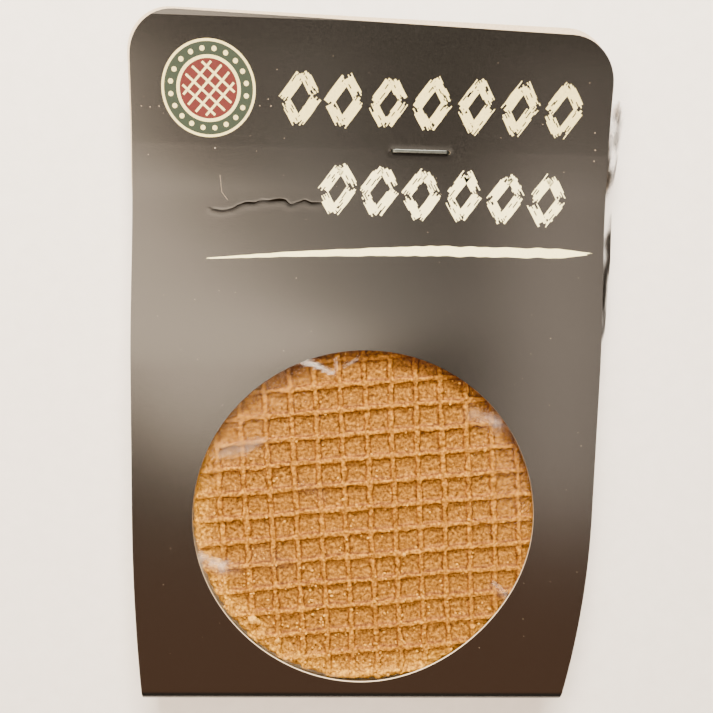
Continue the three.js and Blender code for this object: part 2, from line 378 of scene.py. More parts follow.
def ramp(tree, factor, stops):
    made = tree.nodes.new("ShaderNodeValToRGB")
    elements = made.color_ramp.elements
    while len(elements) < len(stops):
        elements.new(0.5)
    for element, (position, colour) in zip(elements, stops):
        element.position = position
        element.color = (*colour, 1)
    tree.links.new(factor, made.inputs["Fac"])
    return made.outputs["Color"]


def mix_colours(tree, blend_type, factor, first, second):
    mix = add_node(tree, "ShaderNodeMix", data_type="RGBA", blend_type=blend_type)
    for socket, value in ((mix.inputs[0], factor), (mix.inputs[6], first), (mix.inputs[7], second)):
        if isinstance(value, bpy.types.NodeSocket):
            tree.links.new(value, socket)
        else:
            socket.default_value = value
    return mix.outputs[2]


def grain_group():
    group = bpy.data.node_groups.new("surface_grain", "ShaderNodeTree")
    for label, default in (("Size", 0.5), ("Height", 0.1), ("Swell", 0)):
        socket = group.interface.new_socket(label, in_out="INPUT", socket_type="NodeSocketFloat")
        socket.default_value = default
    group.interface.new_socket("Grain", in_out="OUTPUT", socket_type="NodeSocketFloat")
    group.interface.new_socket("Normal", in_out="OUTPUT", socket_type="NodeSocketVector")
    entry = group.nodes.new("NodeGroupInput")
    leave = group.nodes.new("NodeGroupOutput")
    place = group.nodes.new("ShaderNodeTexCoord")
    scale = add_node(group, "ShaderNodeMath", operation="DIVIDE")
    scale.inputs[0].default_value = 1000
    texture = add_node(group, "ShaderNodeTexNoise", Detail=3, Roughness=0.6)
    bump = add_node(group, "ShaderNodeBump", Distance=MM)
    group.links.new(entry.outputs["Size"], scale.inputs[1])
    group.links.new(scale.outputs[0], texture.inputs["Scale"])
    group.links.new(place.outputs["Object"], texture.inputs["Vector"])
    height = add_node(group, "ShaderNodeMath", operation="MULTIPLY_ADD")
    group.links.new(texture.outputs["Fac"], height.inputs[0])
    group.links.new(entry.outputs["Height"], height.inputs[1])
    group.links.new(entry.outputs["Swell"], height.inputs[2])
    group.links.new(height.outputs[0], bump.inputs["Height"])
    group.links.new(texture.outputs["Fac"], leave.inputs["Grain"])
    group.links.new(bump.outputs["Normal"], leave.inputs["Normal"])
    return group


GRAIN = grain_group()


def add_grain(tree, shader, size, height, swell=None):
    """Fine relief of a given size and height in millimetres, on top of a swell in millimetres."""
    grain = add_node(tree, "ShaderNodeGroup", node_tree=GRAIN)
    if swell:
        tree.links.new(swell, grain.inputs["Swell"])
    grain.inputs["Size"].default_value = size
    grain.inputs["Height"].default_value = height
    tree.links.new(grain.outputs["Normal"], shader.inputs["Normal"])
    return grain.outputs["Grain"]


def header_swell(tree):
    """The slow bend back of the card's loose top end above the crack, in millimetres."""
    place = tree.nodes.new("ShaderNodeTexCoord")
    parts = tree.nodes.new("ShaderNodeSeparateXYZ")
    share = add_node(tree, "ShaderNodeMapRange")
    share.inputs["From Min"].default_value = STAPLE_Y * MM
    share.inputs["From Max"].default_value = FRONT_TOP_Y * MM
    bend = add_node(tree, "ShaderNodeMath", operation="POWER")
    bend.inputs[1].default_value = BEND_BACK_POWER
    fall = add_node(tree, "ShaderNodeMath", operation="MULTIPLY")
    fall.inputs[1].default_value = -HEADER_BEND_BACK
    above = add_node(tree, "ShaderNodeMapRange", interpolation_type="SMOOTHERSTEP")
    above.inputs["From Min"].default_value = HEADER_LEAN_Y[0] * MM
    above.inputs["From Max"].default_value = HEADER_LEAN_Y[1] * MM
    lean = add_node(tree, "ShaderNodeMath", operation="MULTIPLY_ADD")
    lean.inputs[1].default_value = -HEADER_LEAN
    tree.links.new(place.outputs["Object"], parts.inputs[0])
    tree.links.new(parts.outputs["Y"], share.inputs["Value"])
    tree.links.new(share.outputs["Result"], bend.inputs[0])
    tree.links.new(bend.outputs[0], fall.inputs[0])
    tree.links.new(parts.outputs["Y"], above.inputs["Value"])
    tree.links.new(above.outputs["Result"], lean.inputs[0])
    tree.links.new(fall.outputs[0], lean.inputs[2])
    return lean.outputs[0]


def card_print():
    material, tree, shader = new_material("card_print")
    grain = add_grain(tree, shader, 0.35, 0.014, header_swell(tree))
    colour = ramp(tree, grain, [(0.3, (0.0034, 0.0028, 0.0019)), (0.7, (0.0058, 0.0048, 0.0033))])
    shine = ramp(tree, grain, [(0.3, (0.20, 0.20, 0.20)), (0.7, (0.25, 0.25, 0.25))])
    tree.links.new(colour, shader.inputs["Base Color"])
    tree.links.new(shine, shader.inputs["Roughness"])
    return material


def card_core():
    material, tree, shader = new_material("card_core")
    grain = add_grain(tree, shader, 0.25, 0.03)
    colour = ramp(tree, grain, [(0.3, (0.55, 0.46, 0.33)), (0.7, (0.78, 0.70, 0.54))])
    tree.links.new(colour, shader.inputs["Base Color"])
    shader.inputs["Roughness"].default_value = 0.85
    return material


def ink(name, light, dark):
    material, tree, shader = new_material(name)
    grain = add_grain(tree, shader, 0.4, 0.02)
    colour = ramp(tree, grain, [(0.35, dark), (0.6, light)])
    tree.links.new(colour, shader.inputs["Base Color"])
    shader.inputs["Roughness"].default_value = 0.5
    shader.inputs["Specular IOR Level"].default_value = 0.2
    return material


def painted_crack_shade():
    # Near-black and without shine: painted shade for the inside of the crack.
    material, _, shader = new_material("painted_crack_shade")
    shader.inputs["Base Color"].default_value = (0.004, 0.003, 0.002, 1)
    shader.inputs["Roughness"].default_value = 1
    shader.inputs["Specular IOR Level"].default_value = 0
    return material


def wafer_crumb():
    """Baked crumb, paler and yellower where the rim is less baked. The walls of the cells are darker as
    painted shade and the ridge tops lighter, partly as painted light; the upper right rim is darker as a
    painted shadow of the card.
    """
    material, tree, shader = new_material("wafer_crumb")
    relief = add_node(tree, "ShaderNodeAttribute", attribute_name="relief")
    pale = add_node(tree, "ShaderNodeAttribute", attribute_name="pale")
    grain = add_grain(tree, shader, 0.7, 0.2)
    # Painted shade and light: darkest on the walls of the cells, lightest on the ridge tops.
    stops = [
        (0.0, (0.285, 0.125, 0.010)), (0.35, (0.13, 0.042, 0.005)),
        (0.75, (0.155, 0.060, 0.006)), (1.0, (0.215, 0.093, 0.009)),
    ]
    depth = ramp(tree, relief.outputs["Fac"], stops)
    paler = mix_colours(tree, "MIX", pale.outputs["Fac"], depth, (0.44, 0.22, 0.018, 1))
    # Painted shadow of the card, multiplied in on the waffle's upper right rim.
    brown = add_node(tree, "ShaderNodeAttribute", attribute_name="browned")
    rim = mix_colours(tree, "MULTIPLY", brown.outputs["Fac"], paler, (0.38, 0.28, 0.30, 1))
    speck = ramp(tree, grain, [(0.32, (0.38, 0.32, 0.3)), (0.50, (1.0, 1.0, 1.0)), (0.66, (1.9, 2.1, 2.1))])
    tree.links.new(mix_colours(tree, "MULTIPLY", 1, rim, speck), shader.inputs["Base Color"])
    shader.inputs["Roughness"].default_value = 0.7
    shader.inputs["Specular IOR Level"].default_value = 0.15
    return material


def syrup_caramel():
    material, tree, shader = new_material("syrup_caramel")
    grain = add_grain(tree, shader, 1.6, 0.3)
    colour = ramp(tree, grain, [(0.3, (0.12, 0.03, 0.005)), (0.7, (0.26, 0.085, 0.014))])
    tree.links.new(colour, shader.inputs["Base Color"])
    shader.inputs["Roughness"].default_value = 0.22
    return material


def clear_film():
    """Clear film that gleams at a slant. Its folds are whiter and more mirror-like, a painted highlight for
    their glare, and its crumpled loose edge is greyer, a painted reflection of the card.
    """
    material, tree, shader = new_material("clear_film")
    fold = add_node(tree, "ShaderNodeAttribute", attribute_name="fold")
    crumple = add_node(tree, "ShaderNodeAttribute", attribute_name="crumple")
    shader.inputs["Metallic"].default_value = 1
    add_grain(tree, shader, 6, 0.12)
    # Painted reflection: the crumpled streaks turn a nearly opaque dark brownish grey, for the card
    # reflected in them.
    tint = mix_colours(tree, "MIX", crumple.outputs["Fac"], (0.95, 0.95, 0.95, 1), (0.12, 0.10, 0.08, 1))
    tree.links.new(tint, shader.inputs["Base Color"])
    blur = ramp(tree, fold.outputs["Fac"], [(0.0, (0.14, 0.14, 0.14)), (0.6, (0.45, 0.45, 0.45))])
    tree.links.new(blur, shader.inputs["Roughness"])
    fresnel = add_node(tree, "ShaderNodeFresnel", IOR=1.5)
    gleam = add_node(tree, "ShaderNodeMath", operation="MULTIPLY")
    gleam.inputs[1].default_value = 0.15
    # Painted highlight: the folds make the film whiter and more mirror-like, for their glare.
    white = add_node(tree, "ShaderNodeMath", operation="MULTIPLY_ADD")
    white.inputs[1].default_value = 0.45
    total = add_node(tree, "ShaderNodeMath", operation="MULTIPLY_ADD", use_clamp=True)
    total.inputs[1].default_value = 0.9
    clear = tree.nodes.new("ShaderNodeBsdfTransparent")
    mix = tree.nodes.new("ShaderNodeMixShader")
    tree.links.new(fresnel.outputs["Fac"], gleam.inputs[0])
    tree.links.new(fold.outputs["Fac"], white.inputs[0])
    tree.links.new(gleam.outputs[0], white.inputs[2])
    tree.links.new(crumple.outputs["Fac"], total.inputs[0])
    tree.links.new(white.outputs[0], total.inputs[2])
    tree.links.new(total.outputs[0], mix.inputs["Fac"])
    tree.links.new(clear.outputs["BSDF"], mix.inputs[1])
    tree.links.new(shader.outputs["BSDF"], mix.inputs[2])
    tree.links.new(mix.outputs["Shader"], tree.nodes["Material Output"].inputs["Surface"])
    return material


def staple_wire():
    material, tree, shader = new_material("staple_wire")
    grain = add_grain(tree, shader, 0.5, 0.03)
    colour = ramp(tree, grain, [(0.3, (0.05, 0.056, 0.053)), (0.7, (0.10, 0.112, 0.105))])
    tree.links.new(colour, shader.inputs["Base Color"])
    shader.inputs["Metallic"].default_value = 1
    shader.inputs["Roughness"].default_value = 0.34
    return material


def pale_floor():
    material, tree, shader = new_material("pale_floor")
    grain = add_grain(tree, shader, 4, 0.05)
    colour = ramp(tree, grain, [(0.3, (0.80, 0.79, 0.77)), (0.7, (0.84, 0.83, 0.81))])
    tree.links.new(colour, shader.inputs["Base Color"])
    shader.inputs["Roughness"].default_value = 0.8
    return material


# Camera, floor and lights


def photo_camera():
    bpy.ops.object.camera_add(
        location=tuple(place * MM for place in CAMERA_PLACE),
        rotation=tuple(math.radians(turn) for turn in CAMERA_TURN),
    )
    camera = named("photo_camera")
    camera.data.sensor_width = 36
    camera.data.lens = CAMERA_LENS
    camera.data.clip_start = 0.01
    bpy.context.scene.camera = camera


def ceiling_light(name, x, y, size, radiance, turn, colour):
    """A level rectangular lamp over the pack, at a place in millimetres, with its turn in degrees."""
    spot = Vector((x, y, LAMP_HEIGHT)) * MM
    soft_light(name, spot, (0, 0, math.radians(turn)), size, radiance, colour)


def slanted_light(name, tilt, size, radiance, colour):
    """A rectangular lamp beyond one end of the pack, at a tilt from straight up in degrees."""
    lean = math.radians(tilt)
    way = Vector((0, math.sin(lean), math.cos(lean)))
    soft_light(name, way * SLANTED_DISTANCE * MM, (-lean, 0, 0), size, radiance, colour)


def soft_light(name, spot, turn, size, radiance, colour):
    bpy.ops.object.light_add(type="AREA", location=spot, rotation=turn)
    lamp = named(name)
    lamp.data.shape = "RECTANGLE"
    lamp.data.size = size[0] * MM
    lamp.data.size_y = size[1] * MM
    lamp.data.energy = radiance * math.pi * size[0] * size[1] * MM * MM
    lamp.data.color = colour


def set_stage():
    bpy.ops.mesh.primitive_plane_add(size=3, location=(0, 0, -0.05 * MM))
    floor = named("pale_floor")
    floor.data.materials.append(pale_floor())
    world = bpy.data.worlds.new("room")
    bpy.context.scene.world = world
    world.use_nodes = True
    world.node_tree.nodes["Background"].inputs["Color"].default_value = (1, 0.93, 0.84, 1)
    world.node_tree.nodes["Background"].inputs["Strength"].default_value = 0.2


photo_camera()
set_stage()
ceiling_light("left_window", -289, 170, (251, 642), 14, 51, (1, 0.80, 0.60))
ceiling_light("right_wall", 216, 45, (128, 430), 6.6, 0, (1, 0.82, 0.66))
ceiling_light("window_edge", 6, 169, (120, 230), 3.6, 51, (1, 0.86, 0.70))
slanted_light("far_window", 61, (420, 200), 150, (1, 0.89, 0.76))
slanted_light("near_glow", -34, (900, 500), 1.25, (1, 0.38, 0.16))


# Card sleeve


def sleeve_line():
    """The sleeve's outer face in side view, from past the front's top end round the fold to the back's."""
    end = BACK_TOP_Y + 5
    fold = FOLD_Y + FOLD_RADIUS
    front_y = np.linspace(end, fold, 400)
    back_y = np.linspace(fold, end, 400)
    turn = np.linspace(0, math.pi / 2, 24)[1:-1]
    upper = np.c_[fold - FOLD_RADIUS * np.sin(turn), PACK_DEPTH - FOLD_RADIUS * (1 - np.cos(turn))]
    lower = np.c_[fold - FOLD_RADIUS * np.cos(turn), FOLD_RADIUS * (1 - np.sin(turn))]
    wall = np.c_[[FOLD_Y] * 6, np.linspace(PACK_DEPTH - FOLD_RADIUS, FOLD_RADIUS, 6)]
    line = np.r_[np.c_[front_y, front_z(front_y)], upper, wall, lower, np.c_[back_y, back_z(back_y)]]
    run = np.r_[0, np.cumsum(np.hypot(*np.diff(line, axis=0).T))]
    way = np.gradient(line, axis=0)
    way /= np.hypot(*way.T)[:, None]
    return run, line, np.c_[way[:, 1], -way[:, 0]]


RUN, LINE, LINE_OUT = sleeve_line()


def run_at(y, front=True):
    """How far along the sleeve's line a panel crosses a distance y along the pack."""
    half = len(LINE) // 2
    if front:
        return float(np.interp(-y, -LINE[:half, 0], RUN[:half]))
    return float(np.interp(y, LINE[half:, 0], RUN[half:]))


def waist(y, depth):
    """How far a side edge draws in towards the fold."""
    t = np.clip((FOLD_Y + WAIST_LENGTH - y) / WAIST_LENGTH, 0, 1)
    return depth * t * t


def card_blank():
    """The flat blank of the sleeve with its die-cut outline and window, X across and -Y along its line."""
    length = RUN[-1]
    across, along = BLANK_CELLS
    bpy.ops.mesh.primitive_grid_add(x_subdivisions=across, y_subdivisions=along, size=1)
    blank = named("card_sleeve_print")
    places = points(blank)
    places[:, 0] *= BLANK_MARGIN * CARD_WIDTH
    places[:, 1] = places[:, 1] * length - length / 2
    set_points(blank, places)
    refine(blank, CRACK_ZONE)
    refine(blank, STAPLE_ZONE)
    wall = blank.modifiers.new("wall", "SOLIDIFY")
    wall.thickness = CARD_THICKNESS
    wall.offset = -1
    wall.material_offset = 1
    for material in (card_print(), CORE):
        blank.data.materials.append(material)
    apply_modifiers(blank)
    cut(blank, card_die(), "INTERSECT")
    reach = (CROWN_WIDTH - WIRE_WIDTH) / 2
    punches = [round_punch(0, 0, WINDOW_RADIUS, 192)]
    for x in (STAPLE_X - reach, STAPLE_X + reach):
        punches.append(round_punch(x, STAPLE_Y, LEG_HOLE_RADIUS, 12))
    cut(blank, join("punches", punches), "DIFFERENCE")
    return blank


def refine(piece, zone):
    """Divides the faces of the flat blank inside a zone of the front panel."""
    left, right, low, high = zone
    low, high = -run_at(low), -run_at(high)
    choose_faces(piece, lambda middle: left < middle.x < right and low < middle.y < high)
    take_up(piece)
    bpy.ops.object.mode_set(mode="EDIT")
    bpy.ops.mesh.subdivide(number_cuts=ZONE_CUTS)
    close_mesh()


def card_die():
    """The blank's outline: slanted ends with rounded corners."""
    half = CARD_WIDTH / 2
    front = -run_at(FRONT_TOP_Y)
    back = -run_at(BACK_TOP_Y, front=False)
    bpy.ops.mesh.primitive_plane_add(size=2)
    die = named("card_die")
    places = points(die)
    for place in places:
        on_front = place[1] > 0
        slant = FRONT_TOP_SLANT if on_front else -BACK_TOP_SLANT
        place[1] = (front if on_front else back) - place[0] * slant / 2
        place[0] *= half
    set_points(die, places)
    open_mesh(die)
    bpy.ops.mesh.bevel(offset=CORNER_RADIUS, segments=12, affect="VERTICES", clamp_overlap=False)
    bpy.ops.mesh.select_all(action="SELECT")
    bpy.ops.mesh.extrude_region_move(TRANSFORM_OT_translate={"value": (0, 0, DIE_DEPTH)})
    bpy.ops.mesh.select_all(action="SELECT")
    bpy.ops.transform.translate(value=(0, 0, -DIE_DEPTH / 2))
    close_mesh()
    die.data.materials.append(CORE)
    return face_out(die)


def round_punch(x, y, radius, sides):
    """A punch through the flat blank, at a place on the front panel."""
    bpy.ops.mesh.primitive_cylinder_add(
        vertices=sides, radius=radius, depth=DIE_DEPTH, location=(x, -run_at(y), 0)
    )
    punch = named("round_punch")
    punch.data.materials.append(CORE)
    return settle(punch)


def fold_card(blank):
    """Bends the flat blank along the sleeve's line and draws its sides in at the fold."""
    flat = points(blank)
    run = -flat[:, 1]
    y, z = (np.interp(run, RUN, LINE[:, i]) for i in (0, 1))
    out_y, out_z = (np.interp(run, RUN, LINE_OUT[:, i]) for i in (0, 1))
    y = y + out_y * flat[:, 2]
    z = z + out_z * flat[:, 2]
    x = flat[:, 0]
    drawn_in = np.where(x < 0, waist(y, WAIST_LEFT), waist(y, WAIST_RIGHT))
    x = x * (1 - drawn_in / (CARD_WIDTH / 2))
    on_back = run > RUN[len(RUN) // 2]
    drift_start = FOLD_Y + WAIST_LENGTH
    drift = np.clip((y - drift_start) / (BACK_TOP_Y - drift_start), 0, 1)
    x = x - np.where(on_back, BACK_DRIFT * drift, 0)
    set_points(blank, np.c_[x, y, z])
    return blank


def line_distance(places, line):
    """Distance in plan from each place to a line of points, and which side of it the place is on."""
    best = np.full(len(places), 1e9)
    side = np.zeros(len(places))
    for start, end in zip(line[:-1], line[1:]):
        a, b = np.array(start), np.array(end)
        way = (b - a) / np.hypot(*(b - a))
        rel = places[:, :2] - a
        along = np.clip(rel @ way, 0, np.hypot(*(b - a)))
        off = rel - along[:, None] * way
        distance = np.hypot(*off.T)
        nearer = distance < best
        best = np.where(nearer, distance, best)
        side = np.where(nearer, np.sign(rel @ np.array([-way[1], way[0]])), side)
    return best, side


def mark_card(sleeve):
    """Presses in the crack and the dent under the staple."""
    places = points(sleeve)
    on_front = places[:, 2] > (front_z(places[:, 1]) + back_z(places[:, 1])) / 2
    distance, side = line_distance(places, CRACK)
    groove = GROOVE_DEPTH * np.exp(-((distance / GROOVE_WIDTH) ** 2))
    lip = LIP_HEIGHT * np.exp(-(((distance - LIP_OFFSET) / LIP_WIDTH) ** 2)) * (side < 0)
    across = np.maximum(np.abs(places[:, 0] - STAPLE_X) - CROWN_WIDTH / 2, 0)
    along = places[:, 1] - STAPLE_Y
    dent = DENT_DEPTH * np.exp(-(across / DENT_REACH[0]) ** 2 - (along / DENT_REACH[1]) ** 2)
    places[:, 2] += np.where(on_front, lip - groove - dent, 0)
    set_points(sleeve, places)
    return sleeve


CORE = card_core()
sleeve = mark_card(fold_card(card_blank()))
finish_piece(sleeve, 35, ["card_sleeve"])


# Print on the front panel. What is drawn flat in plan is laid on the panel at a small height.


def lay_on_panel(piece, height):
    places = points(piece)
    places[:, 2] += front_z(places[:, 1]) + height
    set_points(piece, places)
    return piece


def brush_stroke(start, end, width, draw):
    """A flat dry-brush stroke in plan: bristle rows of uneven length, with gaps where the brush ran dry."""
    a, b = Vector(start), Vector(end)
    length = (b - a).length
    count = max(int(length / STROKE_STEP), 6)
    bpy.ops.mesh.primitive_grid_add(x_subdivisions=BRISTLES, y_subdivisions=count, size=1)
    stroke = bpy.context.object
    lost = [(draw.choice((0, 0, 1, 1, 2)), draw.choice((0, 1, 1, 2, 3))) for _ in range(BRISTLES)]
    dry = {k: draw.uniform(0.15, 0.95) for k in range(BRISTLES) if draw.random() < 0.3}

    def is_bare(middle):
        bristle = int((middle.x + 0.5) * BRISTLES)
        step = int((middle.y + 0.5) * count)
        first, last = lost[bristle]
        is_dry = bristle in dry and abs(step / count - dry[bristle]) < 0.10
        return step < first or step >= count - last or is_dry

    choose_faces(stroke, is_bare)
    bpy.ops.object.mode_set(mode="EDIT")
    bpy.ops.mesh.delete(type="FACE")
    close_mesh()
    places = points(stroke)
    way = (b - a) / length
    side = Vector((way.y, -way.x))
    t = places[:, 1] + 0.5
    half = places[:, 0] * width
    seed = draw.uniform(0, 50)
    waver = np.array([STROKE_WAVER * noise.noise(Vector((u * length / 2.5, seed, 0))) for u in t])
    along = t * length
    plan = np.outer(along, way) + np.outer(half + waver, side) + np.array(a)
    set_points(stroke, np.c_[plan, np.zeros(len(plan))])
    return stroke


def ink_layer(name, parts, material):
    layer = join(name, parts)
    wall = layer.modifiers.new("wall", "SOLIDIFY")
    wall.thickness = INK_THICKNESS
    wall.offset = -1
    apply_modifiers(layer)
    lay_on_panel(layer, INK_HEIGHT)
    face_out(layer)
    layer.data.materials.append(material)
    return finish_piece(layer, 30)


def lozenge_row(name, left, right, count, height, material, seed):
    """A row of lozenges, each brushed in four strokes from corner to corner."""
    draw = random.Random(seed)
    strokes = []
    start, end = Vector(left), Vector(right)
    pitch = (end - start) / count
    tip = Vector((LOZENGE_LEAN, height / 2))
    flank = Vector((pitch.length * LOZENGE_SHARE, LOZENGE_SKEW))
    for i in range(count):
        middle = start + pitch * (i + 0.5)
        corners = [middle + tip, middle + flank, middle - tip, middle - flank]
        for a, b in zip(corners, corners[1:] + corners[:1]):
            nudge = Vector([draw.uniform(-LOZENGE_NUDGE, LOZENGE_NUDGE) for _ in range(2)])
            strokes.append(brush_stroke(a + nudge, b + nudge, STROKE_WIDTH, draw))
    return ink_layer(name, strokes, material)


def underline(material):
    """The long stroke under the print, thin at its left end and tapered at its right end."""
    draw = random.Random(8)
    stroke = brush_stroke(UNDERLINE[0], UNDERLINE[-1], 1, draw)
    places = points(stroke)
    xs, ys = zip(*UNDERLINE)
    a, b = Vector(UNDERLINE[0]), Vector(UNDERLINE[-1])
    way = (b - a).normalized()
    rel = places[:, :2] - np.array(a)
    along = rel @ np.array(way)
    across = rel @ np.array((-way.y, way.x))
    x = a.x + along * way.x
    width = np.interp(x, xs, UNDERLINE_WIDTH)
    places[:, 0] = x
    places[:, 1] = np.interp(x, xs, ys) + across * width
    set_points(stroke, places)
    return ink_layer("print_underline", [stroke], material)


def flat_disc(spot, radius, sides):
    bpy.ops.mesh.primitive_circle_add(
        vertices=sides, radius=radius, fill_type="NGON", location=(*spot, 0)
    )
    return settle(bpy.context.object)


def badge_disc(inks):
    """The round badge's plain rings, inset from its rim inwards."""
    disc = flat_disc(BADGE, BADGE_RADIUS, 96)
    named("print_badge")
    names = list(inks)
    for colour in names:
        disc.data.materials.append(inks[colour])
    radius = BADGE_RADIUS
    open_mesh(disc)
    for inner, colour in BADGE_RINGS:
        disc.active_material_index = names.index(colour)
        bpy.ops.object.material_slot_assign()
        count = max(round((radius - inner) / INSET_STEP), 1)
        for _ in range(count):
            bpy.ops.mesh.inset(thickness=(radius - inner) / count, use_even_offset=True)
        radius = inner
    close_mesh()
    face_up(disc)
    lay_on_panel(disc, INK_HEIGHT)
    return finish_piece(disc, 30)


def direction(angle):
    return Vector((math.cos(angle), math.sin(angle)))


def badge_marks(material):
    """Dots on the badge's band and a lattice in its middle."""
    marks = []
    for k in range(BADGE_DOTS):
        spot = BADGE + direction(2 * math.pi * (k + 0.5) / BADGE_DOTS) * DOT_RING
        marks.append(flat_disc(spot, DOT_RADIUS, 14))
    for turn in LATTICE_TURNS:
        way = direction(math.radians(turn))
        for offset in LATTICE_OFFSETS:
            middle = BADGE + Vector((-way.y, way.x)) * offset
            reach = math.sqrt(LATTICE_RADIUS ** 2 - offset ** 2)
            marks.append(plain_bar(middle - way * reach, middle + way * reach, LATTICE_WIDTH))
    lattice = join("print_badge_marks", marks)
    face_up(lattice)
    lay_on_panel(lattice, 2 * INK_HEIGHT)
    lattice.data.materials.append(material)
    return finish_piece(lattice, 30)


def plain_bar(start, end, width):
    """A flat straight bar in plan, divided along its length."""
    length = (end - start).length
    bpy.ops.mesh.primitive_grid_add(x_subdivisions=1, y_subdivisions=12, size=1)
    bar = bpy.context.object
    places = points(bar)
    way = (end - start) / length
    side = Vector((way.y, -way.x))
    plan = np.outer(places[:, 1] * length, way) + np.outer(places[:, 0] * width, side)
    plan += np.array((start + end) / 2)
    set_points(bar, np.c_[plan, np.zeros(len(plan))])
    return bar


def crack_shade_slits():
    """The dark slits, painted shade inside the crack, which follow the crack's line and taper to both ends.
    """
    slits = []
    for start, end, width in CRACK_SHADE_SLITS:
        a, b = Vector(start), Vector(end)
        slit = plain_bar(a, b, width)
        places = points(slit)
        t = (places[:, :2] - np.array(a)) @ np.array(b - a) / (b - a).length_squared
        middle = np.array(a) + np.outer(t, np.array(b - a))
        line = np.array(CRACK)
        wander = np.interp(middle[:, 0], line[:, 0], line[:, 1])
        spread = np.sin(np.clip(t, 0.02, 0.98) * math.pi)
        places[:, 1] = wander + (places[:, 1] - middle[:, 1]) * spread
        set_points(slit, places)
        slits.append(slit)
    gap = join("crack_shade_slits", slits)
    face_up(gap)
    lay_on_panel(gap, SLIT_HEIGHT)
    gap.data.materials.append(painted_crack_shade())
    return finish_piece(gap, 30)


def scuffs():
    """Pale flecks where the print is rubbed off, and one thin scratch over the crack."""
    draw = random.Random(4)
    marks = []
    spots = [(x, y, draw.uniform(0.12, 0.22)) for x, y in SCUFFS]
    for _ in range(FINE_FLECKS):
        spots.append((draw.uniform(-50, 50), draw.uniform(-40, 104), draw.uniform(0.05, 0.1)))
    for x, y, radius in spots:
        if math.hypot(x, y) > WINDOW_RADIUS + 1:
            mark = flat_disc((x, y), radius, 7)
            shape = points(mark)
            uneven = [(draw.uniform(-0.35, 0.35), draw.uniform(-0.35, 0.35)) for _ in shape]
            shape[:, :2] += np.array(uneven) * radius
            set_points(mark, shape)
            marks.append(mark)
    marks += [plain_bar(Vector(a), Vector(b), SCRATCH_WIDTH) for a, b in zip(SCRATCH, SCRATCH[1:])]
    flecks = join("print_scuffs", marks)
    face_up(flecks)
    lay_on_panel(flecks, INK_HEIGHT / 2)
    flecks.data.materials.append(ink("rubbed_card", (0.30, 0.25, 0.18), (0.20, 0.16, 0.12)))
    return finish_piece(flecks, 30)


UPPER_CREAM = ink("upper_print_cream", (0.84, 0.75, 0.34), (0.72, 0.64, 0.28))
LOWER_CREAM = ink("lower_print_cream", (0.98, 0.93, 0.52), (0.90, 0.85, 0.46))
BADGE_INKS = {
    "cream": UPPER_CREAM,
    "green": ink("badge_green", (0.020, 0.034, 0.020), (0.016, 0.028, 0.017)),
    "red": ink("badge_red", (0.10, 0.010, 0.009), (0.082, 0.008, 0.007)),
}
lozenge_row("print_upper_row", (-21.0, 93.4), (46.6, 92.4), 7, 10.6, UPPER_CREAM, 5)
lozenge_row("print_lower_row", (-12.4, 74.4), (43.9, 72.9), 6, 10.2, LOWER_CREAM, 6)
underline(LOWER_CREAM)
badge_disc(BADGE_INKS)
badge_marks(UPPER_CREAM)
crack_shade_slits()
scuffs()


# Waffle


def grid_steps(places):
    """Places counted in whole cells of the pressed grid, across its rows and across its columns."""
    row = math.radians(90 + ROW_ANGLE)
    column = math.radians(COLUMN_ANGLE)
    across_rows = (places[:, 0] * math.cos(row) + places[:, 1] * math.sin(row)) / ROW_PITCH - ROW_PHASE
    across_columns = (places[:, 0] * math.cos(column) + places[:, 1] * math.sin(column)) / COLUMN_PITCH
    return across_rows, across_columns - COLUMN_PHASE


def pressed_relief(places, seed):
    """How deep each place lies below the ridges, from 0 to 1 on a cell's floor, and how far it is
    from the nearest ridge's top on the same scale. The ridges between the columns are worn lower."""
    deepest = np.ones(len(places))
    farthest = np.ones(len(places))
    row_wear = ROW_WEAR + 0.2 * cloud(places, 6, seed + 7)
    column_wear = COLUMN_WEAR + 0.25 * cloud(places, 7, seed + 8)
    pitches = (ROW_PITCH, COLUMN_PITCH)
    wear = (row_wear, column_wear)
    for steps, pitch, low, offset in zip(grid_steps(places), pitches, wear, (1, 2)):
        steps = steps + 0.05 * cloud(places, 13, seed + offset)
        steps = steps + 0.035 * cloud(places, 2.5, seed + offset + 6)
        distance = np.abs(steps - np.round(steps)) * pitch
        half = RIDGE_HALF + 0.30 * cloud(places, 1.8, seed + offset + 4)
        fall = ease((distance - half) / RIDGE_SLOPE)
        deepest = np.minimum(deepest, low + (1 - low) * fall)
        farthest = np.minimum(farthest, fall)
    return np.clip(deepest, 0, 1), farthest


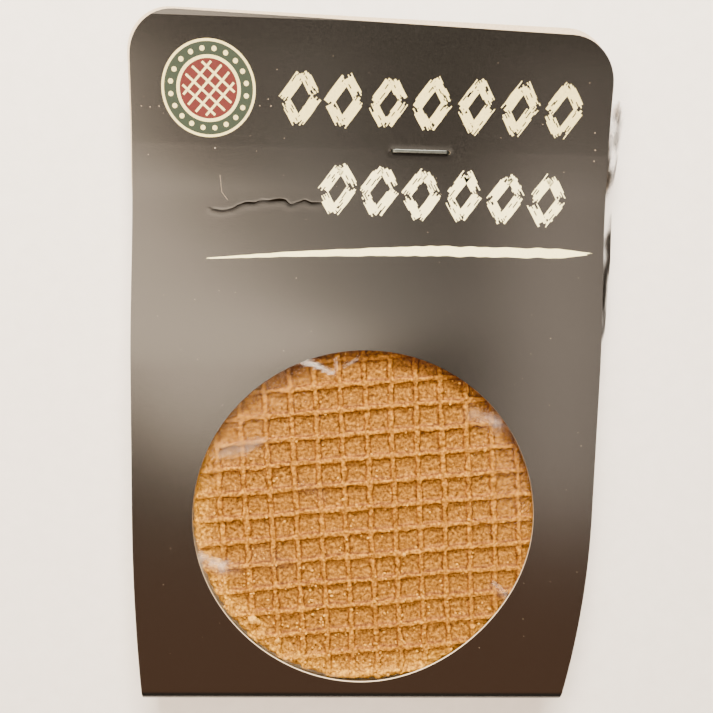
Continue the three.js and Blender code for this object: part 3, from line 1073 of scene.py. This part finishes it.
def wafer_face(name, cells_across, seed):
    """One face of a wafer, pressed with the grid, as a dense sheet with its ridges' tops at height 0."""
    bpy.ops.mesh.primitive_grid_add(x_subdivisions=cells_across, y_subdivisions=cells_across, size=2)
    face = named(name)
    square = points(face)
    u, v = square[:, 0], square[:, 1]
    disc = np.c_[u * np.sqrt(1 - v * v / 2), v * np.sqrt(1 - u * u / 2)]
    radius = np.hypot(*disc.T)
    angle = np.arctan2(disc[:, 1], disc[:, 0])
    rim_points = np.c_[np.cos(angle), np.sin(angle), np.zeros(len(angle))] * WAFER_RADIUS
    wobble = 0.13 * np.sin(3 * angle + 1) + 0.09 * np.sin(8 * angle)
    ragged = 0.35 * cloud(rim_points, 1.6, seed + 9)
    size = WAFER_RADIUS + wobble + ragged * ease((radius - 0.9) / 0.1) + 0.2
    flat = np.c_[disc * size[:, None] + WAFFLE_SPOT, np.zeros(len(disc))]
    depth, relief = pressed_relief(flat, seed)
    inwards = WAFER_RADIUS * (1 - radius)
    rim_fall = RIM_FALL * (1 - np.sqrt(1 - np.clip(1 - inwards / RIM_ROUNDING, 0, 1) ** 2))
    crumb = 0.20 * cloud(flat, 0.8, seed + 11) + 0.14 * cloud(flat, 2.2, seed + 12)
    pits = -0.22 * ease((cloud(flat, 1.1, seed + 13) - 0.32) / 0.15)
    height = -CELL_DEPTH * depth + crumb + pits - rim_fall
    set_points(face, np.c_[flat[:, :2], height])
    pale, browned = pale_rim_and_card_shadow(flat, inwards, seed)
    mark_points(face, relief=relief, pale=pale, browned=browned)
    return face


def pale_rim_and_card_shadow(flat, inwards, seed):
    """Where the rim is baked less, at the lower left, and where the upper right rim is darkened as a
    painted shadow of the card.
    """
    low_left = ease((-0.75 * flat[:, 0] - flat[:, 1]) / 34 + 0.1 + 0.35 * cloud(flat, 5, seed + 20))
    pale = 0.75 * low_left * ease(1 - inwards / 6.5 + 0.5 * cloud(flat, 2.0, seed + 21))
    # Painted shadow: darker towards the upper right rim, where the card's window edge shades the waffle.
    high_right = ease((0.94 * flat[:, 1] + 0.34 * flat[:, 0]) / 18 - 0.7)
    browned = high_right * ease(1 - (inwards - 0.8) / 5.5 + 0.3 * cloud(flat, 3.0, seed + 22))
    return pale, browned


def wafer(name, node, cells_across, seed, face_z, facing):
    """A wafer: its pressed face, which faces up (1) or down (-1), a crumbly side and a flat inner face."""
    piece = wafer_face(name, cells_across, seed)
    open_mesh(piece)
    bpy.ops.mesh.region_to_loop()
    for drop in SIDE_DROPS:
        bpy.ops.mesh.extrude_region_move(TRANSFORM_OT_translate={"value": (0, 0, -drop)})
    bpy.ops.mesh.edge_face_add()
    close_mesh()
    places = points(piece)
    side = places[:, 2] < SIDE_TOP
    bottom = places[:, 2] < -(WAFER_THICKNESS - 0.25)
    swell = np.where(side, 1 + 0.012 * cloud(places, 1.3, seed + 15), 1)
    places[:, :2] = WAFFLE_SPOT + (places[:, :2] - WAFFLE_SPOT) * swell[:, None]
    places[:, 2] = face_z + facing * np.where(bottom, -WAFER_THICKNESS, places[:, 2])
    set_points(piece, places)
    face_out(piece)
    piece.data.materials.append(CRUMB)
    return finish_piece(piece, 60, [node])


def syrup():
    """The syrup between the wafers, uneven at its edge."""
    bpy.ops.mesh.primitive_cylinder_add(
        vertices=180, radius=SYRUP_RADIUS, depth=SYRUP_THICKNESS, location=(*WAFFLE_SPOT, SYRUP_MIDDLE_Z)
    )
    layer = settle(named("syrup_filling"))
    open_mesh(layer)
    bpy.ops.mesh.bevel(offset=SYRUP_ROUNDING, segments=4)
    close_mesh()
    places = points(layer)
    swell = 1 + 0.010 * cloud(places, 4, 31) + 0.006 * cloud(places, 1.2, 32)
    places[:, :2] = WAFFLE_SPOT + (places[:, :2] - WAFFLE_SPOT) * swell[:, None]
    set_points(layer, places)
    layer.data.materials.append(syrup_caramel())
    return finish_piece(layer, 60, ["syrup_layer"])


CRUMB = wafer_crumb()
wafer("front_wafer", "wafer_front", 256, FRONT_WAFER_SEED, WAFER_FRONT_TOP, 1)
wafer("back_wafer", "wafer_back", 120, 40, WAFER_BACK_LOW, -1)
syrup()


# Crumbs


def loose_crumbs():
    """Pale crumbs that lie on the front wafer under the film, most of them towards its lower rim."""
    draw = random.Random(12)
    spots = list(BIG_CRUMBS)
    while len(spots) < CRUMB_SPOTS:
        x, y = draw.uniform(-39, 39), draw.uniform(-39, 39)
        chance = 0.10 + 0.9 * max((-y - 0.35 * x) / 42, 0) ** 1.5
        if math.hypot(x, y) < 38.6 and draw.random() < chance:
            spots.append(((x, y), draw.uniform(0.12, 0.38)))
    places = np.array([(*spot, 0) for spot, _ in spots])
    depths = CELL_DEPTH * pressed_relief(places, FRONT_WAFER_SEED)[0]
    crumbs = []
    for (spot, radius), depth in zip(spots, depths):
        bpy.ops.mesh.primitive_ico_sphere_add(subdivisions=1, radius=1, location=(0, 0, 0))
        crumb = bpy.context.object
        shape = points(crumb)
        shape *= np.array([[draw.uniform(0.75, 1.25)] * 3 for _ in shape])
        angle = draw.uniform(0, 6.28)
        axis = Vector((draw.random(), draw.random(), draw.random() + 0.1))
        turn = Matrix.Rotation(angle, 3, axis)
        shape = shape @ np.array(turn).T * (1, 1, 0.7) * radius
        set_points(crumb, shape + (*spot, WAFER_FRONT_TOP - depth + 0.45 * radius))
        crumbs.append(crumb)
    crumbs = join("loose_crumbs", crumbs)
    crumbs.data.materials.append(ink("crumb_pale", (0.60, 0.33, 0.05), (0.42, 0.20, 0.02)))
    return finish_piece(crumbs, 20)


loose_crumbs()


# Film bag


def rim_folds():
    """The film's gleam where it dips between the waffle and the window's lower left edge."""
    angles = np.radians(np.linspace(RIM_FOLD["from"], RIM_FOLD["to"], RIM_FOLD["steps"] + 1))
    spots = [(RIM_FOLD["radius"] * math.cos(a), RIM_FOLD["radius"] * math.sin(a)) for a in angles]
    return [(start, end, 0, 0.6, 0.35) for start, end in zip(spots, spots[1:])]


def film_heights(x, y, reach, edge_near, upper):
    """The film's height over or under the waffle, falling to the seam at the bag's edges."""
    middle = (front_z(y) + back_z(y)) / 2
    share = np.clip(reach / np.maximum(reach + edge_near, 1e-6), 0, 1)
    share = np.where(reach <= 0, 0, share)
    top = FILM_TOP + (middle + FILM_SEAM - FILM_TOP) * share
    low = FILM_LOW + (middle - FILM_SEAM - FILM_LOW) * share
    top = np.minimum(top, front_z(y) - CARD_THICKNESS - FILM_MARGIN)
    low = np.maximum(low, back_z(y) + CARD_THICKNESS + FILM_MARGIN)
    flat = np.c_[x, y, np.where(upper, 0, 50)]
    wrinkle = 0.07 * cloud(flat, 9, 51) + 0.025 * cloud(flat, 3.5, 52)
    wrinkle = wrinkle * np.where(reach < 0, 1, 0.6) * np.clip(edge_near / 3, 0, 1)
    return np.where(upper, top, low) + wrinkle


def film_folds(flat, upper):
    """How much the folds raise the upper film, and how white they make it as a painted highlight of their
    glare.
    """
    rise = np.zeros(len(flat))
    white = np.zeros(len(flat))
    blotches = 0.75 + 0.5 * cloud(flat, 1.5, 53)
    for start, end, height, width, glare_whiteness in FILM_FOLDS + rim_folds():
        distance, _ = line_distance(flat, [start, end])
        near = np.where(upper, np.exp(-((distance / width) ** 2)), 0)
        rise += height * near
        white += glare_whiteness * near * blotches
    return rise, np.clip(white, 0, 1)


def film_crumple(x, y):
    """Where the film's loose edge past the card is crumpled, in streaks along it, which the film's material
    paints dark brownish grey as a reflection of the card.
    """
    level = np.zeros(len(x))
    streaks = cloud(np.c_[6 * x, y, level], 9, 54) + 0.6 * cloud(np.c_[3 * x, y, level], 4, 55)
    past_card = ease((x - CARD_WIDTH / 2 + 0.8) / 0.8)
    return past_card * ease(0.45 + 1.1 * streaks) * ease((y - 40) / 3)


def film_pillow():
    """The shut bag as one thin clear body, an upper and a lower film that meet at its edges."""
    bpy.ops.mesh.primitive_grid_add(x_subdivisions=176, y_subdivisions=214, size=1)
    film = named("film_bag_clear")
    wall = film.modifiers.new("wall", "SOLIDIFY")
    wall.thickness = 1
    wall.offset = 0
    apply_modifiers(film)
    places = points(film)
    upper = places[:, 2] > 0
    y = BAG_LOW_Y + (places[:, 1] + 0.5) * (BAG_TOP_Y - BAG_LOW_Y)
    left = np.interp(y, *zip(*BAG_LEFT))
    right = np.interp(y, *zip(*BAG_RIGHT))
    x = left + (places[:, 0] + 0.5) * (right - left)
    edge_near = np.minimum(np.minimum(x - left, right - x), np.minimum(y - BAG_LOW_Y, BAG_TOP_Y - y))
    reach = np.hypot(x - WAFFLE_SPOT[0], y - WAFFLE_SPOT[1]) - WAFER_RADIUS
    z = film_heights(x, y, reach, edge_near, upper)
    rise, fold = film_folds(np.c_[x, y, np.where(upper, 0, 50)], upper)
    mark_points(film, fold=fold, crumple=film_crumple(x, y))
    set_points(film, np.c_[x, y, z + rise])
    face_out(film)
    film.data.materials.append(clear_film())
    return finish_piece(film, 70, ["film_bag"])


film_pillow()


# Staple


def pressed_staple():
    """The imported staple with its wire's edges rounded, drawn together on to the card."""
    wire = bpy.data.objects.new("staple_wire_bent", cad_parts["staple"].data.copy())
    bpy.context.collection.objects.link(wire)
    wire.data.transform(Matrix.Scale(1 / MM, 4))
    open_mesh(wire)
    bpy.ops.mesh.remove_doubles(threshold=0.01)
    bpy.ops.mesh.dissolve_limited(angle_limit=math.radians(2))
    close_mesh()
    rounding = wire.modifiers.new("rounding", "BEVEL")
    rounding.width = WIRE_ROUNDING
    rounding.segments = 3
    rounding.limit_method = "ANGLE"
    rounding.angle_limit = math.radians(40)
    apply_modifiers(wire)
    places = points(wire)
    middle = (places[:, 2].max() + places[:, 2].min()) / 2
    height = places[:, 2].max() - places[:, 2].min()
    places[:, 2] = middle + (places[:, 2] - middle) * (height - STAPLE_PRESS) / height - STAPLE_SINK
    set_points(wire, places)
    wire.data.materials.clear()
    wire.data.materials.append(staple_wire())
    return finish_piece(wire, 35, ["staple"])


pressed_staple()
